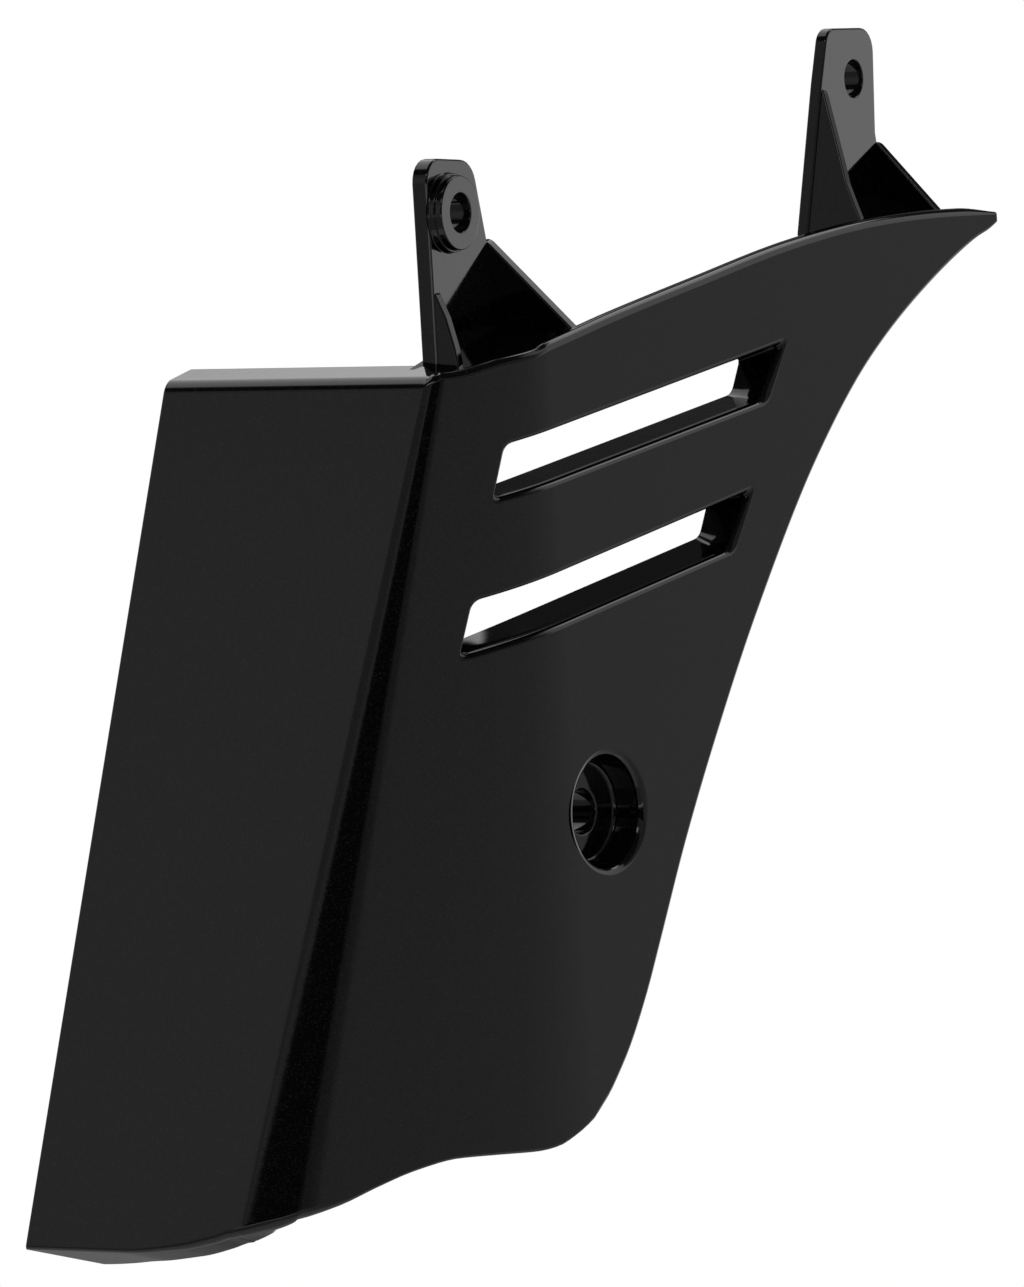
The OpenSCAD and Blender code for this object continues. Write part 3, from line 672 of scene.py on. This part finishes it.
# rear tab
REAR_X, REAR_Y, REAR_Z, REAR_PLATE = 13.9, 125.0, 29.5, 2.4
COLLAR_R, COLLAR = 5.4, 4.8
hole, hole_tan = path([
    (BOLT_R + 0.5, 0), (BOLT_R, 0), (BOLT_R, -COLLAR), (COLLAR_R, -COLLAR), (COLLAR_R, -REAR_PLATE)],
    [0.35, 0.35, 0.3])
revolve(hole, hole_tan, np.array([REAR_X, REAR_Y, REAR_Z]), Y_AXIS, UP, X_AXIS, shell, side=-1)
slab(shell, [
    (REAR_Y - 17.9, REAR_Z - 30.6, 0.5), (REAR_Y - 12.6, REAR_Z - 1.6, 4),
    (REAR_Y - 10.2, REAR_Z + 8.9, 3.4), (REAR_Y + 7.6, REAR_Z + 10, 4.6),
    (REAR_Y + 8.7, REAR_Z - 9.8, 1), (REAR_Y + 9.6, REAR_Z - 12.5, 0.5),
    (REAR_Y + 9.6, REAR_Z - 22.4, 0.5)],
     REAR_X - REAR_PLATE, REAR_X, PLATE_AXES,
     holes_low=[circle(REAR_Y, REAR_Z, COLLAR_R)], holes_high=[circle(REAR_Y, REAR_Z, BOLT_R + 0.5)])
back = REAR_X - REAR_PLATE + 0.5
rib(shell, REAR_Y - 12.2, REAR_Z - 2, -10.5, [
    (back, 0, 0.3), (REAR_X, 0, 2), (REAR_X + 2.8, -7.3, 3), (REAR_X + 5.2, -13.6, 3), (REAR_X + 7, -18.6, 3),
    (REAR_X + 9.5, -23.4, 1), (REAR_X + 11, -26.2, 0.2), (REAR_X + 11, -30, 0.2), (back, -31.5, 0.3)])
rib(shell, REAR_Y + 8.6, REAR_Z, 0, [
    (back, -11.5, 0.3), (REAR_X, -11.5, 2), (REAR_X + 14.4, -25.1, 0.3), (REAR_X + 14.4, -26.5, 0.3),
    (back, -23.5, 0.3)],
    turn=-FLARE, pivot=(REAR_X, REAR_Y + 8.6, 0))
side_at = lambda y: SIDE_X + math.tan(FLARE) * y - 1.3
shelf_x, shelf_front, shelf_rear = REAR_X - REAR_PLATE + 0.3, REAR_Y - 15.8, REAR_Y + 8.2
shelf(shell, [
    (shelf_x, REAR_Y + 10.9, 0.3), (shelf_x, shelf_front, 0.3), (side_at(shelf_front), shelf_front, 0.3),
    (side_at(shelf_rear), shelf_rear, 0.3)],
      -1.5, -0.29, 0.1, SHELF)


# Material: high-gloss black with a faint orange peel and a very fine dark flake
def gloss_black():
    material = bpy.data.materials.new("gloss_black")
    material.use_nodes = True
    nodes, links = material.node_tree.nodes, material.node_tree.links
    shader = nodes["Principled BSDF"]
    shader.inputs["IOR"].default_value = 1.5
    coords = nodes.new("ShaderNodeTexCoord")
    flake = nodes.new("ShaderNodeTexVoronoi")
    flake.inputs["Scale"].default_value = 5200
    links.new(coords.outputs["Object"], flake.inputs["Vector"])
    split = nodes.new("ShaderNodeSeparateColor")
    links.new(flake.outputs["Color"], split.inputs["Color"])
    tint = nodes.new("ShaderNodeValToRGB")
    tint.color_ramp.elements[0].position = 0.8
    tint.color_ramp.elements[0].color = (0.0003, 0.0003, 0.0003, 1)
    tint.color_ramp.elements[1].position = 1.0
    tint.color_ramp.elements[1].color = (0.006, 0.006, 0.0066, 1)
    links.new(split.outputs["Red"], tint.inputs["Fac"])
    links.new(tint.outputs["Color"], shader.inputs["Base Color"])
    haze = nodes.new("ShaderNodeTexNoise")
    haze.inputs["Scale"].default_value = 90
    haze.inputs["Detail"].default_value = 4
    links.new(coords.outputs["Object"], haze.inputs["Vector"])
    rough = nodes.new("ShaderNodeMapRange")
    rough.inputs["To Min"].default_value = 0.045
    rough.inputs["To Max"].default_value = 0.075
    links.new(haze.outputs["Fac"], rough.inputs["Value"])
    links.new(rough.outputs["Result"], shader.inputs["Roughness"])
    peel = nodes.new("ShaderNodeTexNoise")
    peel.inputs["Scale"].default_value = 420
    peel.inputs["Detail"].default_value = 2
    links.new(coords.outputs["Object"], peel.inputs["Vector"])
    bump = nodes.new("ShaderNodeBump")
    bump.inputs["Strength"].default_value = 1.0
    bump.inputs["Distance"].default_value = 0.000004
    links.new(peel.outputs["Fac"], bump.inputs["Height"])
    links.new(bump.outputs["Normal"], shader.inputs["Normal"])
    return material


black = gloss_black()
cover = shell.object("cover", black)
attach(cover, "root")
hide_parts("fork_cover")


# Studio: a pale surround with a white backdrop behind the part, and the dark room round the camera.
# The camera, gloss and glass all see this same room; it lights plain surfaces at an even level of 1.
# Bearing 0 is ahead of the part's front, 90 its outer side, 180 behind; height is above the horizon.
# Each panel: bearing from, to, height from, to, brightness, softness of its sides and of its ends
SURROUND = 0.3
PANELS = (
    (-400, 400, 30, 95, 0.04, 5, 4),        # dim ceiling
    (-400, 45, -95, -16, 0.24, 14, 6),      # ground, front and left
    (-400, -105, 5, 27, 0.1, 8, 3),         # dim wall above the backdrop
    (-147, -116, 26, 50, 1.3, 2.5, 3),      # softbox high behind the inner side
    (-400, -105, -40, -10.5, 0.14, 8, 1.5), # dimmer ground below the backdrop
    (-72, -8, -6, 19, 0.42, 14, 4),         # front left softbox
    (-20, 70, 9, 27, 0.22, 8, 4),           # grey above the dark room
    (-16, 68, 12, 13.6, 0.34, 2, 0.6),      # its lintel
    (-14, 67, -5, 12.3, 0.02, 1.5, 0.5),    # dark room round the camera
    (-24, 62, -11, -7.5, 1.3, 6, 1.5),      # low strip light
    (66, 400, -70, 4.5, 0.33, 22, 2),       # side wall
    (128, 400, -70, 4.5, 0.39, 34, 2),      # its brighter end
    (72, 122, 4.5, 34, 0.2, 8, 4),          # dimmer wall above it
    (124, 156, 3.5, 52, 0.95, 6, 2),        # softbox behind the outer side
    (146, 400, 44, 58, 1.9, 10, 4),         # overhead strip, behind
    (-400, -160, 47, 58, 1.9, 4, 4),
    (-148, -58, 46, 62, 1.4, 14, 4),        # overhead strip, left
    (-20, 24, 29, 38, 2.2, 6, 2),           # key light
    (-400, -115, -9, 6, 1.0, 8, 1),         # white backdrop
    (142, 400, -12, 8, 1.35, 4, 2),         # its lit wing
)


def studio():
    world = bpy.data.worlds.new("studio")
    scene.world = world
    world.use_nodes = True
    nodes, links = world.node_tree.nodes, world.node_tree.links
    nodes.clear()
    coords = nodes.new("ShaderNodeTexCoord")
    parts = nodes.new("ShaderNodeSeparateXYZ")
    links.new(coords.outputs["Generated"], parts.inputs["Vector"])

    def node_of(kind, *values):
        """Output of a math node of this kind, fed with numbers or other outputs."""
        node = nodes.new("ShaderNodeMath")
        node.operation = kind
        for socket, value in zip(node.inputs, values):
            if isinstance(value, (int, float)):
                socket.default_value = value
            else:
                links.new(value, socket)
        return node.outputs[0]

    def edge(value, at, soft, rising):
        """1 on one side of an angle and 0 on the other, softly."""
        node = nodes.new("ShaderNodeMapRange")
        node.interpolation_type = "SMOOTHSTEP"
        node.inputs["From Min"].default_value = at - soft / 2
        node.inputs["From Max"].default_value = at + soft / 2
        node.inputs["To Min"].default_value = 0 if rising else 1
        node.inputs["To Max"].default_value = 1 if rising else 0
        links.new(value, node.inputs["Value"])
        return node.outputs["Result"]

    turn = node_of("ARCTAN2", parts.outputs["X"], node_of("MULTIPLY", parts.outputs["Y"], -1))
    bearing = node_of("MULTIPLY", turn, 180 / math.pi)
    height = node_of("MULTIPLY", node_of("ARCSINE", parts.outputs["Z"]), 180 / math.pi)
    level = SURROUND
    for b0, b1, h0, h1, bright, soft_b, soft_h in PANELS:
        across = node_of("MULTIPLY", edge(bearing, b0, soft_b, True), edge(bearing, b1, soft_b, False))
        upright = node_of("MULTIPLY", edge(height, h0, soft_h, True), edge(height, h1, soft_h, False))
        mask = node_of("MULTIPLY", across, upright)
        level = node_of("ADD", level, node_of("MULTIPLY", mask, node_of("SUBTRACT", bright, level)))
    ray = nodes.new("ShaderNodeLightPath")
    seen = node_of("ADD", ray.outputs["Is Camera Ray"], ray.outputs["Is Glossy Ray"])
    seen = node_of("MINIMUM", node_of("ADD", seen, ray.outputs["Is Transmission Ray"]), 1)
    plain = node_of("SUBTRACT", 1, seen)
    background = nodes.new("ShaderNodeBackground")
    background.inputs["Color"].default_value = (1, 1, 1, 1)
    links.new(node_of("ADD", node_of("MULTIPLY", level, seen), plain), background.inputs["Strength"])
    out = nodes.new("ShaderNodeOutputWorld")
    links.new(background.outputs["Background"], out.inputs["Surface"])


studio()

# Floor: plain pale paper, well below the hanging part, with its soft shadow
FLOOR_Z = -0.7
bpy.ops.mesh.primitive_plane_add(size=1.1, location=(0, 0, FLOOR_Z))
floor = bpy.context.object
floor.name = "floor"
paper = bpy.data.materials.new("floor_pale")
paper.use_nodes = True
paper.node_tree.nodes["Principled BSDF"].inputs["Base Color"].default_value = (0.55, 0.55, 0.55, 1)
paper.node_tree.nodes["Principled BSDF"].inputs["Roughness"].default_value = 0.9
floor.data.materials.append(paper)
